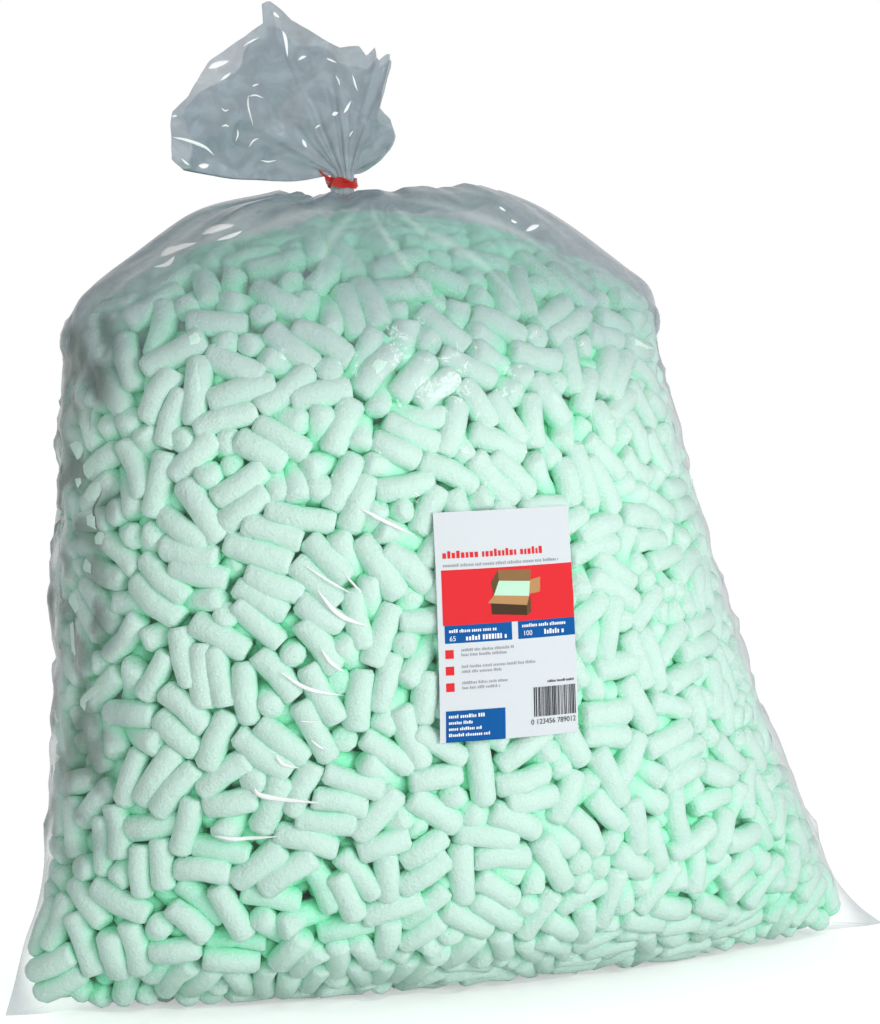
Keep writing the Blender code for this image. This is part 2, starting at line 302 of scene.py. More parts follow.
def film_grid(sections, turns):
    """Points of the plain film at each section and turn; turns run from the right end round the front."""
    height, left, right, depth, point, lift, _ = (sections[:, i, None] for i in range(7))
    across, out = np.cos(turns)[None], np.sin(turns)[None]
    bulge = np.sign(out) * np.abs(out) ** point
    grid = np.empty((len(sections), len(turns), 3))
    grid[..., 0] = (left + right) / 2 + (right - left) / 2 * across
    grid[..., 1] = -depth * bulge
    grid[..., 2] = np.maximum(height + lift * across / 2, 0)
    return grid


def grid_normals(grid):
    """Outward directions of a closed ring grid."""
    round_way = np.roll(grid, -1, axis=1) - np.roll(grid, 1, axis=1)
    up_way = np.gradient(grid, axis=0)
    normals = np.cross(up_way, round_way)
    return normals / np.maximum(np.linalg.norm(normals, axis=2, keepdims=True), 1e-9)


def creased(points, size, seed, waves=9):
    """From -1 to 1: flat facets between sharp straight folds of about the given size."""
    rng = np.random.default_rng(seed)
    total = np.zeros(points.shape[:-1])
    for _ in range(waves):
        way = rng.normal(size=3)
        drift = rng.normal(size=3)
        length = size * rng.uniform(0.7, 2.0)
        fold = np.abs((points @ way / np.linalg.norm(way) / length + rng.random()) % 2 - 1) * 2 - 1
        total += fold * (0.5 + 0.5 * np.sin(points @ drift * 1.6 / length + 6 * rng.random()))
    return total / math.sqrt(waves)


def gather_wave(turns):
    """Uneven gathers round the bag, 0 on a crest and 1 in a fold."""
    main = np.cos(14 * turns + 0.9 * np.sin(3 * turns + 1.0))
    fine = np.cos(33 * turns + 1.3 * np.sin(5 * turns)) * 0.35
    wide = np.cos(6 * turns + 2.0) * 0.4
    return (1 - (main + fine + wide) / 1.75) / 2


def point_tree(points):
    """Points, ready to be searched."""
    tree = kdtree.KDTree(len(points))
    for index, point in enumerate(points):
        tree.insert(point, index)
    tree.balance()
    return tree


class Room:
    """The space inside the film, as the distance to it at points of a box grid."""

    CELL = 0.007
    WALL_TURNS = 96
    WALL_STEP = 0.012

    def __init__(self):
        turns = np.linspace(0, 2 * math.pi, self.WALL_TURNS, endpoint=False)
        sections = film_sections(self.WALL_STEP)
        grid = film_grid(sections, turns)
        rows, columns = grid.shape[:2]
        number = np.arange(rows * columns).reshape(rows, columns)
        beside = np.roll(number, -1, axis=1)
        sides = np.stack((number[:-1], beside[:-1], beside[1:], number[1:]), -1)
        faces = [*map(tuple, sides.reshape(-1, 4).tolist()), tuple(number[-1].tolist())]
        tree = bvhtree.BVHTree.FromPolygons([tuple(p) for p in grid.reshape(-1, 3)], faces)
        middle = Vector((0, 0, NECK.z / 2))
        margin = 2 * self.CELL
        self.low = np.array((FILM_LOW.x, FILM_LOW.y, 0)) - margin
        high = np.array((FILM_HIGH.x, FILM_HIGH.y, NECK.z)) + margin
        count = np.ceil((high - self.low) / self.CELL).astype(int)
        cells = np.stack(np.meshgrid(*(np.arange(n) for n in count), indexing="ij"), -1)
        spots = cells * self.CELL + self.low
        values = np.empty(cells[..., 0].size)
        nearest, normal, _, _ = tree.find_nearest(middle)
        flip = 1 if (nearest - middle).dot(normal) > 0 else -1
        for index, spot in enumerate(spots.reshape(-1, 3)):
            spot = Vector(spot)
            nearest, normal, _, distance = tree.find_nearest(spot)
            inside = (nearest - spot).dot(normal) * flip > 0
            values[index] = distance if inside else -distance
        depth = values.reshape(count)
        slopes = np.gradient(depth, self.CELL)
        self.field = np.stack((depth, *slopes), -1)

    def sample(self, points):
        """Depth inside the film and the way in, at each point."""
        place = (points - self.low) / self.CELL
        low = np.clip(place.astype(int), 0, np.array(self.field.shape[:3]) - 2)
        part = np.clip(place - low, 0, 1)
        total = 0
        for corner in range(8):
            step = np.array((corner & 1, corner >> 1 & 1, corner >> 2 & 1))
            weight = np.prod(np.where(step, part, 1 - part), axis=-1)
            near = self.field[tuple(np.moveaxis(low + step, -1, 0))]
            total = total + near * weight[..., None]
        return total[..., 0], total[..., 1:]


# A peanut is packed as a rod of four beads, whose outer ones lie this far inside its ends.
BEADS = np.array((-1.0, -0.33, 0.33, 1.0))
BEAD_INSET = 0.0060

# Room between the film and the heap: at the front, and what the ends and the top have besides.
FRONT_SLACK = 0.0018
END_SLACK = 0.001
TOP_SLACK = 0.012

# Two lengths this close are taken for the same one, and so are two middles this close.
SAME_LENGTH = 0.0001
SAME_PLACE = 0.002

# How the heap settles: its rounds, the peanuts' share of their full size at first, what they gain and
# the share of the rounds that this takes, the rounds between two searches for neighbours and how far
# apart neighbours may be, the share of an overlap that one round undoes, and how far a round presses
# each peanut towards the film.
ROUNDS = 130
FIRST_SIZE = 0.55
GROWTH = 0.45
GROWING_SHARE = 0.6
SEARCH_EVERY = 10
NEIGHBOUR_GAP = 0.004
PUSH_SHARE = 0.35
PRESS = 0.0002

# Most of the peanuts this near to the film start nearly flat to it: how near, how many and how flat.
FLAT_DEPTH = 0.03
FLAT_CHANCE = 0.9
FLATTENING = 0.9

# How deep inside the film the middles of the outer peanuts lie at most, and those that are shown at all.
OUTER_DEPTH = 0.030
SHOWN_DEPTH = 0.055


def frame_peanuts(length, diameter):
    """Middles and axes of the six-sided peanuts that lie flat on the frame's heap."""
    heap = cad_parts["peanut_fill"]
    heap.data.calc_loop_triangles()
    corners = np.empty(len(heap.data.loop_triangles) * 3, np.int32)
    heap.data.loop_triangles.foreach_get("vertices", corners)
    turn = np.array(heap.matrix_world)
    points = points_of(heap.data) @ turn[:3, :3].T + turn[:3, 3]
    triangles = points[corners.reshape(-1, 3)]
    sides = np.roll(triangles, -1, axis=1) - triangles
    lengths = np.linalg.norm(sides, axis=2)
    order = np.argsort(lengths, axis=1)
    side = diameter / 2
    wanted = np.array((side, length, math.hypot(length, side)))
    misfit = np.abs(np.take_along_axis(lengths, order, 1) - wanted).max(axis=1)
    found = {}
    for half in np.flatnonzero(misfit < SAME_LENGTH):
        _, along, across = order[half]
        middle = triangles[half, across] + sides[half, across] / 2
        normal = np.cross(sides[half, 0], sides[half, 1])
        middle -= normal / np.linalg.norm(normal) * side * math.cos(math.pi / 6)
        found[tuple(np.rint(middle / SAME_PLACE))] = (middle, sides[half, along] / lengths[half, along])
    middles, axes = zip(*found.values())
    return np.array(middles), np.array(axes)


def slack(points):
    """Room left between the film and the heap: little at the front, more at the ends and the top."""
    ends = smooth_step(np.abs(points[:, 0] + 0.06), 0.20, 0.26) * END_SLACK
    top = smooth_step(points[:, 2], 0.45, 0.55) * TOP_SLACK
    return FRONT_SLACK + ends + top


def touching_pairs(beads, reach):
    """Pairs of beads of different peanuts that are close to each other."""
    tree = point_tree(beads)
    pairs = []
    for index, bead in enumerate(beads):
        own = index // len(BEADS)
        pairs += [(index, other) for _, other, _ in tree.find_range(bead, reach) if other // len(BEADS) > own]
    return np.array(pairs).T


def pack_peanuts(room, settings):
    """Middles, directions and lengths of peanuts that fill the bag and press against the film."""
    rng = np.random.default_rng(settings.seed)
    radius = settings.diameter / 2
    low = np.array((FILM_LOW.x, FILM_LOW.y, 0))
    high = np.array((FILM_HIGH.x, FILM_HIGH.y, NECK.z))
    spots = rng.uniform(low, high, (settings.count * 12, 3))
    depth, way = room.sample(spots)
    inside = np.flatnonzero(depth > radius + slack(spots))[: settings.count]
    middles, depth, way = spots[inside], depth[inside], way[inside]
    axes = rng.normal(size=middles.shape)
    flat = (depth < FLAT_DEPTH) & (rng.random(len(depth)) < FLAT_CHANCE)
    way /= np.maximum(np.linalg.norm(way, axis=1, keepdims=True), 1e-6)
    axes -= flat[:, None] * FLATTENING * np.sum(axes * way, axis=1, keepdims=True) * way
    axes /= np.linalg.norm(axes, axis=1, keepdims=True)
    lengths = settings.length + settings.spread * rng.uniform(-1, 1, len(middles))
    laid, laid_axes = frame_peanuts(settings.length, settings.diameter)
    middles[: len(laid)] = laid
    axes[: len(laid)] = laid_axes
    lengths[: len(laid)] = settings.length
    still = len(laid) * len(BEADS)
    for step in range(ROUNDS):
        size = min(1.0, FIRST_SIZE + GROWTH * step / (ROUNDS * GROWING_SHARE))
        reach = BEADS[None] * (lengths[:, None] / 2 - BEAD_INSET) * size
        beads = (middles[:, None] + axes[:, None] * reach[..., None]).reshape(-1, 3)
        if step % SEARCH_EVERY == 0:
            first, second = touching_pairs(beads, 2 * radius + NEIGHBOUR_GAP)
        gap = beads[first] - beads[second]
        distance = np.maximum(np.linalg.norm(gap, axis=1), 1e-6)
        push = gap * (np.clip(2 * radius * size - distance, 0, None) / distance * PUSH_SHARE)[:, None]
        placed = beads[:still].copy()
        for axis in range(3):
            beads[:, axis] += np.bincount(first, push[:, axis], len(beads))
            beads[:, axis] -= np.bincount(second, push[:, axis], len(beads))
        beads[:still] = placed
        depth, way = room.sample(beads)
        way /= np.maximum(np.linalg.norm(way, axis=1, keepdims=True), 1e-6)
        short = np.clip(radius * size + slack(beads) - depth, 0, None)
        beads += way * short[:, None]
        beads[still:] -= way[still:] * PRESS
        beads[:, 2] = np.maximum(beads[:, 2], radius * size + 0.001)
        beads = beads.reshape(-1, len(BEADS), 3)
        middles = beads.mean(axis=1)
        axes = np.sum((beads - middles[:, None]) * BEADS[None, :, None], axis=1)
        axes /= np.maximum(np.linalg.norm(axes, axis=1, keepdims=True), 1e-9)
    return middles, axes, lengths


def model_peanut(sides, bands):
    """One straight peanut of radius 1 and length 1 along Z, with rounded ends and a pore in each."""
    deselect_all()
    bpy.ops.mesh.primitive_cylinder_add(vertices=sides, radius=1.0, depth=0.84, end_fill_type="NGON")
    peanut = bpy.context.object
    bpy.ops.object.mode_set(mode="EDIT")
    for band in bands:
        bpy.ops.mesh.select_all(action="SELECT")
        bpy.ops.mesh.bisect(plane_co=(0, 0, band), plane_no=(0, 0, 1))
    bpy.ops.mesh.select_mode(type="FACE")
    bpy.ops.mesh.select_all(action="DESELECT")
    bpy.ops.object.mode_set(mode="OBJECT")
    for face in peanut.data.polygons:
        face.select = abs(face.normal.z) > 0.9
    bpy.ops.object.mode_set(mode="EDIT")
    bpy.ops.mesh.inset(thickness=0.24, depth=0.08, use_individual=True)
    bpy.ops.mesh.inset(thickness=0.62, depth=-0.004, use_individual=True)
    bpy.ops.object.mode_set(mode="OBJECT")
    return peanut


# How far the peanuts differ, from the least to the most.
THICKNESS = (0.97, 1.09)
TAPER = (-0.12, 0.12)
BARREL = (0.00, 0.16)
OVAL = (0.94, 1.06)
BEND = (-0.0016, 0.0022)
LUMPS = 0.035


def peanut_copies(model, middles, axes, lengths, radius, seed):
    """Points of every copy of the model, bent a little, tapered and turned to its direction."""
    rng = np.random.default_rng(seed)
    count = len(middles)
    plain = points_of(model.data)
    side = np.cross(axes, rng.normal(size=axes.shape))
    side /= np.linalg.norm(side, axis=1, keepdims=True)
    other = np.cross(axes, side)
    thick = radius * rng.uniform(*THICKNESS, (count, 1))
    taper = rng.uniform(*TAPER, (count, 1))
    barrel = rng.uniform(*BARREL, (count, 1))
    oval = rng.uniform(*OVAL, (count, 1))
    bend = rng.uniform(*BEND, (count, 1))
    along = plain[None, :, 2]
    girth = thick * (1 + taper * along + barrel * (0.25 - along**2))
    lumps = 1 + LUMPS * np.sin(along * 9 + rng.uniform(0, 6, (count, 1)))
    first = plain[None, :, 0] * girth * lumps * oval + bend * (1 - 8 * along**2)
    second = plain[None, :, 1] * girth * lumps / oval
    third = along * lengths[:, None]
    points = middles[:, None] + first[..., None] * side[:, None] + second[..., None] * other[:, None]
    return points + third[..., None] * axes[:, None], rng.random(count)


def copies_mesh(model, name, points):
    """One mesh that holds a copy of the model for each set of points."""
    count, size = points.shape[:2]
    data = model.data
    corners = np.empty(len(data.loops), np.int32)
    data.loops.foreach_get("vertex_index", corners)
    starts = np.empty(len(data.polygons), np.int32)
    data.polygons.foreach_get("loop_start", starts)
    ends = [abs(face.normal.z) > 0.9 and len(face.vertices) > 4 for face in data.polygons]
    shift = np.arange(count, dtype=np.int32)[:, None]
    mesh = bpy.data.meshes.new(name)
    mesh.vertices.add(count * size)
    mesh.vertices.foreach_set("co", points.astype(np.float32).ravel())
    mesh.loops.add(count * len(corners))
    mesh.loops.foreach_set("vertex_index", (corners[None] + shift * size).ravel())
    mesh.polygons.add(count * len(starts))
    mesh.polygons.foreach_set("loop_start", (starts[None] + shift * len(corners)).ravel())
    mesh.polygons.foreach_set("material_index", np.tile(np.array(ends, np.int32), count))
    mesh.update(calc_edges=True)
    mesh.shade_smooth()
    obj = bpy.data.objects.new(name, mesh)
    bpy.context.scene.collection.objects.link(obj)
    return obj


class Nodes:
    """The nodes of a material or of the world, added and joined by name."""

    OUTPUTS = {
        "Attribute": "Fac",
        "LayerWeight": "Facing",
        "Mix": 2,
        "TexCoord": "Object",
        "TexNoise": "Fac",
        "VectorMath": "Value",
    }

    def __init__(self, owner):
        self.owner = owner
        owner.use_nodes = True
        self.tree = owner.node_tree
        self.tree.nodes.clear()

    def add(self, kind, inputs=(), **settings):
        node = self.tree.nodes.new("ShaderNode" + kind)
        for name, value in settings.items():
            setattr(node, name, value)
        for socket, value in dict(inputs).items():
            if isinstance(value, bpy.types.NodeSocket):
                self.tree.links.new(value, node.inputs[socket])
            else:
                node.inputs[socket].default_value = value
        return node.outputs[self.OUTPUTS.get(kind, 0)]

    def mix(self, share, first, second):
        """A colour between two others."""
        return self.add("Mix", {0: share, 6: first, 7: second}, data_type="RGBA")

    def math(self, operation, first, second=0.0, clamp=False):
        return self.add("Math", {0: first, 1: second}, operation=operation, use_clamp=clamp)

    def fit(self, value, low, high, to_low=0.0, to_high=1.0):
        ends = {"From Min": low, "From Max": high, "To Min": to_low, "To Max": to_high}
        return self.add("MapRange", {"Value": value, **ends})

    def attribute(self, name):
        return self.add("Attribute", attribute_name=name)

    def coordinates(self):
        return self.add("TexCoord")

    def surface(self, shader):
        """Ends the nodes with a shader and gives back what owns them."""
        kind = "World" if isinstance(self.owner, bpy.types.World) else "Material"
        output = self.tree.nodes.new("ShaderNodeOutput" + kind)
        self.tree.links.new(shader, output.inputs["Surface"])
        return self.owner


def material_nodes(name):
    return Nodes(bpy.data.materials.new(name))


def rgba(colour):
    return (*colour, 1.0)


def foam_material(name, settings, shade):
    """Porous foam, pale in the light, with painted shade: deep green down in the heap, and darker all over by
    the given share of shade.
    """
    nodes = material_nodes(name)
    place = nodes.coordinates()
    # Painted shade: the deeper inside the film a point lies, the more it takes the deep green of the shaded
    # gaps.
    deep = nodes.fit(nodes.attribute("depth"), 0.004, 0.015)
    colour = nodes.mix(deep, rgba(settings.outer_colour), rgba(settings.painted_shade_colour))
    tone = nodes.fit(nodes.attribute("tone"), 0, 1, 0.0, 0.16)
    colour = nodes.mix(tone, colour, (0.42, 0.80, 0.62, 1.0))
    speckle = nodes.add("TexNoise", {"Vector": place, "Scale": 900.0, "Detail": 2.0})
    colour = nodes.mix(nodes.fit(speckle, 0.42, 0.68, 0.0, 0.38), colour, (0.78, 0.94, 0.88, 1.0))
    # Painted shade: darker green by the given share, for the shade inside a pore.
    colour = nodes.mix(shade, colour, (0.12, 0.50, 0.30, 1.0))
    pores = nodes.add("TexVoronoi", {"Vector": place, "Scale": 520.0})
    ripple = nodes.add("TexNoise", {"Vector": place, "Scale": 140.0, "Detail": 3.0})
    height = nodes.math("ADD", nodes.math("MULTIPLY", pores, 0.35), ripple)
    bump = nodes.add("Bump", {"Height": height, "Strength": 0.6, "Distance": 0.0018})
    look = {"Base Color": colour, "Roughness": 0.7, "Specular IOR Level": 0.25, "Normal": bump}
    return nodes.surface(nodes.add("BsdfPrincipled", look))


def film_material(name, colour, roughness, edge_haze):
    """Clear film: it mirrors the lights, and turns milky by its own haze and where it is seen edge on; soft
    patches of haze also stand in as painted glare, and on the left end the haze is painted dark as shade.
    """
    nodes = material_nodes(name)
    place = nodes.coordinates()
    facing = nodes.add("LayerWeight", {"Blend": 0.5})
    edge = nodes.math("MULTIPLY", nodes.math("POWER", facing, 3.4), edge_haze)
    edge = nodes.math("MULTIPLY", edge, nodes.attribute("rim"))
    # Soft patches of milky haze, which also serve as painted glare on the film.
    haze_and_glare = nodes.add("TexNoise", {"Vector": place, "Scale": 16.0, "Detail": 4.0})
    haze_and_glare = nodes.fit(haze_and_glare, 0.60, 0.78, 0.0, 0.16)
    haze = nodes.math("ADD", nodes.attribute("haze"), nodes.math("ADD", edge, haze_and_glare))
    haze = nodes.math("MINIMUM", haze, 0.94)
    ripple = nodes.add("TexNoise", {"Vector": place, "Scale": 55.0, "Detail": 4.0})
    bump = nodes.add("Bump", {"Height": ripple, "Strength": 0.5, "Distance": 0.0025})
    see = nodes.add("BsdfTransparent", {"Color": (0.985, 0.992, 0.99, 1.0)})
    gloss = nodes.add("BsdfGlossy", {"Color": (1, 1, 1, 1), "Roughness": roughness, "Normal": bump})
    clear = nodes.add("MixShader", {0: 0.025, 1: see, 2: gloss})
    streaks = nodes.add("TexNoise", {"Vector": place, "Scale": 42.0, "Detail": 6.0, "Distortion": 1.8})
    dull = rgba([0.86 * part for part in colour])
    bright = rgba([1.12 * part for part in colour])
    tint = nodes.mix(nodes.fit(streaks, 0.40, 0.62), dull, bright)
    # Painted shade: the haze turns dark grey-green in streaks on the left end.
    tint = nodes.mix(nodes.attribute("dusk"), tint, (0.055, 0.105, 0.085, 1.0))
    look = {"Base Color": tint, "Roughness": 0.22, "Specular IOR Level": 0.6, "Normal": bump}
    milky = nodes.add("BsdfPrincipled", look)
    return nodes.surface(nodes.add("MixShader", {0: haze, 1: clear, 2: milky}))


def moved_grid(points, closed=False):
    """A flat grid with each point moved to its place, and the row and column of each point.

    Its columns run from right to left, so that its faces point out from the bag. A closed grid has one
    more column of points, which come to lie on those of its first column.
    """
    rows, columns = points.shape[:2]
    across = columns if closed else columns - 1
    deselect_all()
    bpy.ops.mesh.primitive_grid_add(x_subdivisions=across, y_subdivisions=rows - 1, size=2.0)
    obj = bpy.context.object
    flat = points_of(obj.data)
    column = np.rint((1 - flat[:, 0]) / 2 * across).astype(int) % columns
    row = np.rint((flat[:, 1] + 1) / 2 * (rows - 1)).astype(int)
    move_points(obj.data, points[row, column])
    return obj, row, column


def close_seams(obj):
    bpy.ops.object.mode_set(mode="EDIT")
    bpy.ops.mesh.select_all(action="SELECT")
    bpy.ops.mesh.remove_doubles(threshold=0.00001)
    bpy.ops.object.mode_set(mode="OBJECT")
    bpy.ops.object.shade_smooth()


# How far the ruffle's gathers stand out, how far its front and back are apart, and its sag at the left.
RUFFLE_GATHER = 0.008
RUFFLE_GAP = 0.018
RUFFLE_SAG = 0.007


def ruffle_rows(turns, shares):
    """The film above the tie: a gathered fan that spreads to the left and crumples."""
    front = np.sin(turns) >= 0
    half = np.where(front, turns, 2 * math.pi - turns) / math.pi
    rim = np.array(RIM, float)
    degrees = rim[0, 0] + (rim[-1, 0] - rim[0, 0]) * half
    length = RUFFLE_LENGTH * np.interp(degrees, rim[:, 0], rim[:, 1])
    length = np.where(front, length, length * (0.93 + 0.05 * np.sin(degrees * 0.21)))
    angle = np.radians(degrees)
    rows = []
    for share in shares:
        close = (1 - share) ** 3
        fold = gather_wave(turns + 0.12 * share * np.sin(4 * turns))
        spread = RUFFLE_GATHER * share**0.6 * (1 - 0.7 * share) * (fold - 0.5)
        spread = spread - RUFFLE_GAP * share * np.sin(turns)
        neck = NECK_RADIUS * close * (1 - 0.4 * fold)
        y = spread - neck * np.sin(turns)
        x = NECK.x + length * share * np.cos(angle) + neck * np.cos(turns)
        x = x + spread * math.tan(CAMERA_TURN)
        sag = RUFFLE_SAG * smooth_step(degrees, 160, 180) * math.sin(math.pi * share)
        z = NECK.z + NECK_LENGTH / 2 + length * share * np.sin(angle) - sag
        rows.append(np.stack((x, y, z), -1))
    return np.array(rows)


def evened(values):
    """Each value of a closed ring grid made the mean of its neighbours and itself."""
    values = (values + np.roll(values, 1, 1) + np.roll(values, -1, 1)) / 3
    values[1:-1] = (values[:-2] + values[1:-1] + values[2:]) / 3
    return values


# The film dips between peanuts by a share of its gap to them, from a first gap up to a deepest one.
# Over a peanut it keeps off by a little, but for the thin stretch along the bottom seam.
FILM_STEP = 0.0045
FIRST_GAP = 0.002
DEEPEST_GAP = 0.007
DIP_SHARE = 0.38
OVER_PEANUT = 0.0013
MOST_OVER = 0.004
SEAM_DEPTH = 0.02

# Heights between which the film turns milky, rises off the heap and rises again round the neck, and
# where it is the neck's own, with how far it rises at each.
MILKY_TOP = (0.390, 0.525)
SHOULDER = (0.455, 0.50)
SHOULDER_RISE = 0.005
CROWN = (0.51, 0.550)
CROWN_RISE = 0.010
NECK_EDGE = (0.5535, 0.5605)
PUFF_RISE = 0.007
PUFF_PLACE = -0.035
PUFF_WIDTH = 0.055

# The bag's two ends: how far out they begin, as shares of the way to each end, and between which
# heights. Then the depths of their creases, of the right one's ripples and of the faint creases elsewhere.
LEFT_END = (0.84, 0.96)
RIGHT_END = (0.88, 0.98)
ENDS_FROM = (0.06, 0.14)
ENDS_TO = (0.47, 0.52)
END_CREASE = 0.0042
END_RIPPLE = 0.0022
FAINT_CREASE = 0.0007

# How milky the film is in each place, from 0 for clear to 1.
LEAST_HAZE = 0.012
TOP_HAZE = 0.60
PLEAT_HAZE = 0.18
END_HAZE = 0.20
END_MOTTLE = 0.22
LEFT_SHADE_HAZE = 0.48
CORNER_HAZE = 0.30
NECK_HAZE = 0.7
RUFFLE_HAZE = 0.80
RUFFLE_MOTTLE = 0.10


def heap_marks(plain, beads, radius, free):
    """How far the film dips between the outer peanuts, and how far they press it out where it is free."""
    tree = point_tree(beads)
    gap = np.array([tree.find(point)[2] for point in plain.reshape(-1, 3)])
    gap = gap.reshape(plain.shape[:2]) - radius
    dip = np.clip(gap - FIRST_GAP, 0, DEEPEST_GAP) * DIP_SHARE
    for _ in range(2):
        dip = evened(dip)
    over = np.clip(OVER_PEANUT - gap, 0, MOST_OVER) * free
    for turn in (1, -1):
        over = np.maximum(over, np.roll(over, turn, 1))
    return dip, np.maximum(over, evened(over))


def raised(body, height):
    """The body's film puffed up over the heap's shoulders and round the neck."""
    below_neck = 1 - smooth_step(height, *NECK_EDGE)
    puff = PUFF_RISE * np.exp(-(((body[..., 0] - PUFF_PLACE) / PUFF_WIDTH) ** 2))
    body[..., 2] += SHOULDER_RISE * smooth_step(height, *SHOULDER) * below_neck
    body[..., 2] += (CROWN_RISE + puff) * smooth_step(height, *CROWN) * below_neck
    body[..., 2] = np.maximum(body[..., 2], 0)
    return body


def crumpled_ruffle(settings, turns):
    """The ruffle with wide, middling and fine creases, which grow towards its rim."""
    ruffle = ruffle_rows(turns, np.linspace(0, 1, 48)[1:] ** 0.9)
    step = np.linspace(0, 1, len(ruffle))[:, None, None]
    crush = 0
    for size, seed, ways in ((0.030, 21, (0, 1, 0)), (0.045, 22, (0.35, 0, 0.35)), (0.013, 23, (0, 0.45, 0))):
        crush = crush + creased(ruffle, size, seed)[..., None] * ways
    return ruffle + crush * settings.crumple * smooth_step(step, 0.02, 0.5)


def film_points(settings, beads, radius):
    """The whole skin of film, its haze and the painted shade on its left end: filled body, neck and ruffle.
    """
    turns = np.linspace(0, 2 * math.pi, settings.columns, endpoint=False)
    sections = film_sections(FILM_STEP)
    plain = film_grid(sections, turns)
    wave = gather_wave(turns)[None]
    off_label = 1 - label_nearness(plain)
    dip, over = heap_marks(plain, beads, radius, (sections[:, 3, None] > SEAM_DEPTH) * off_label)
    thick = smooth_step(np.abs(plain[..., 1]) * 2, 0.004, 0.03)
    height, across = plain[..., 2], np.cos(turns)[None]
    upright = smooth_step(height, *ENDS_FROM) * (1 - smooth_step(height, *ENDS_TO))
    left_end = smooth_step(-across, *LEFT_END) * upright
    right_end = smooth_step(across, *RIGHT_END) * upright
    ends = left_end + 0.5 * right_end

    # How far each point moves out.
    out = creased(plain * np.array((1, 1, 1.6)), 0.020, 3) * ends * END_CREASE
    out += right_end * END_RIPPLE * np.sin(height * 95 + 2.2 * np.sin(height * 23))
    out += creased(plain, 0.05, 11) * FAINT_CREASE * thick * off_label
    out -= settings.fold_depth * sections[:, 6, None] * wave + dip * off_label * thick
    out = np.where(over > 0.0001, np.maximum(out, over), out)
    body = raised(plain + grid_normals(plain) * out[..., None], height)

    # How milky it is, and where its haze is painted dark as shade on the left end.
    top = smooth_step(height, *MILKY_TOP)
    pleats = smooth_step(1 - wave, 0.55, 1.0) * top
    end_haze = ends * (END_HAZE + END_MOTTLE * creased(body, 0.018, 8)) * smooth_step(height, 0.05, 0.25)
    # Painted shade in creased streaks over the left end, which faces away from the light.
    dusk = left_end * smooth_step(-across, 0.87, 0.97) * smooth_step(creased(body, 0.016, 14), -0.30, 0.30)
    corners = (1 - thick) * smooth_step(np.abs(body[..., 0] + 0.02), 0.28, 0.33)
    corners = corners * (1 - smooth_step(height, 0.06, 0.12))
    haze = LEAST_HAZE + TOP_HAZE * top + PLEAT_HAZE * pleats + end_haze
    haze = np.clip(haze + LEFT_SHADE_HAZE * dusk + CORNER_HAZE * corners, LEAST_HAZE, 0.9)

    # The neck and the ruffle above it.
    neck = np.array([body[-1] + (0, 0, NECK_LENGTH * share) for share in (0.33, 0.66, 1.0)])
    ruffle = crumpled_ruffle(settings, turns)
    ruffle_haze = np.clip(RUFFLE_HAZE + RUFFLE_MOTTLE * creased(ruffle, 0.03, 31), 0.6, 0.93)
    film = np.concatenate((body, neck, ruffle))
    haze = np.concatenate((haze, np.full(neck.shape[:2], NECK_HAZE), ruffle_haze))
    dusk = np.concatenate((dusk, np.zeros((len(film) - len(dusk), settings.columns))))
    return film, haze, dusk


def label_nearness(points):
    """1 on the label and just round it, and 0 away from it."""
    settings = bpy.context.scene.bag_label
    across = np.abs(points[..., 0] - LABEL_MIDDLE.x)
    up = np.abs(points[..., 2] - LABEL_MIDDLE.z)
    near = 1 - smooth_step(across, settings.width / 2 + 0.002, settings.width / 2 + 0.018)
    near *= 1 - smooth_step(up, settings.height / 2 + 0.002, settings.height / 2 + 0.018)
    return near * (points[..., 1] < 0)


def film_tree(context):
    """The film's faces, ready to be searched."""
    film = bpy.data.objects.get("bag_film")
    if film is None:
        raise RuntimeError("Add the film before what lies on it.")
    return bvhtree.BVHTree.FromObject(film, context.evaluated_depsgraph_get())


def front_of(tree, x, z):
    """The frontmost point of a shape at a place seen straight from the front, or the nearest to it."""
    hit = tree.ray_cast(Vector((x, -1, z)), Vector((0, 1, 0)))[0]
    return hit or tree.find_nearest(Vector((x, -0.02, z)))[0]


# A fold: steps to each stretch of its line, half its width at its tips, and its section, as places in
# shares of half its width with how far each stands off the film.
FOLD_STEPS = 8
FOLD_TIP = 0.00005
FOLD_PROFILE = ((-1.0, 0.0002), (-0.5, 0.0006), (0.0, 0.0009), (0.5, 0.0006), (1.0, 0.0002))


def fold_strip(tree, line, width):
    """A thin pressed fold of film on a shape: a low ridge that thins out to both ends."""
    line = spline_rows([(x, z) for x, z in line], [FOLD_STEPS] * (len(line) - 1))
    way = np.gradient(line, axis=0)
    way /= np.linalg.norm(way, axis=1, keepdims=True)
    share = np.linspace(0, 1, len(line))
    half = width / 2 * np.sin(math.pi * share) ** 0.7 + FOLD_TIP
    rows = []
    for spot, along, reach in zip(line, way, half):
        cross = np.array((-along[1], along[0]))
        row = []
        for offset, lift in FOLD_PROFILE:
            x, z = spot + cross * offset * reach
            hit = front_of(tree, x, z)
            row.append((hit.x, hit.y - lift, hit.z))
        rows.append(row)
    return np.array(rows)


def fold_highlight_material():
    """Painted highlight on folded film: white along its middle, and clear at its sides and ends."""
    nodes = material_nodes("pressed_fold")
    cover = nodes.fit(nodes.attribute("cover"), 0.03, 0.45, 0.0, 0.97)
    white = nodes.add("BsdfPrincipled", {"Base Color": (0.93, 0.95, 0.96, 1.0), "Roughness": 0.2})
    return nodes.surface(nodes.add("MixShader", {0: cover, 1: nodes.add("BsdfTransparent"), 2: white}))


# Where the outer peanuts lie, as points along each one, for the film that presses on them.
HEAP = {}
HEAP_POINTS = 9


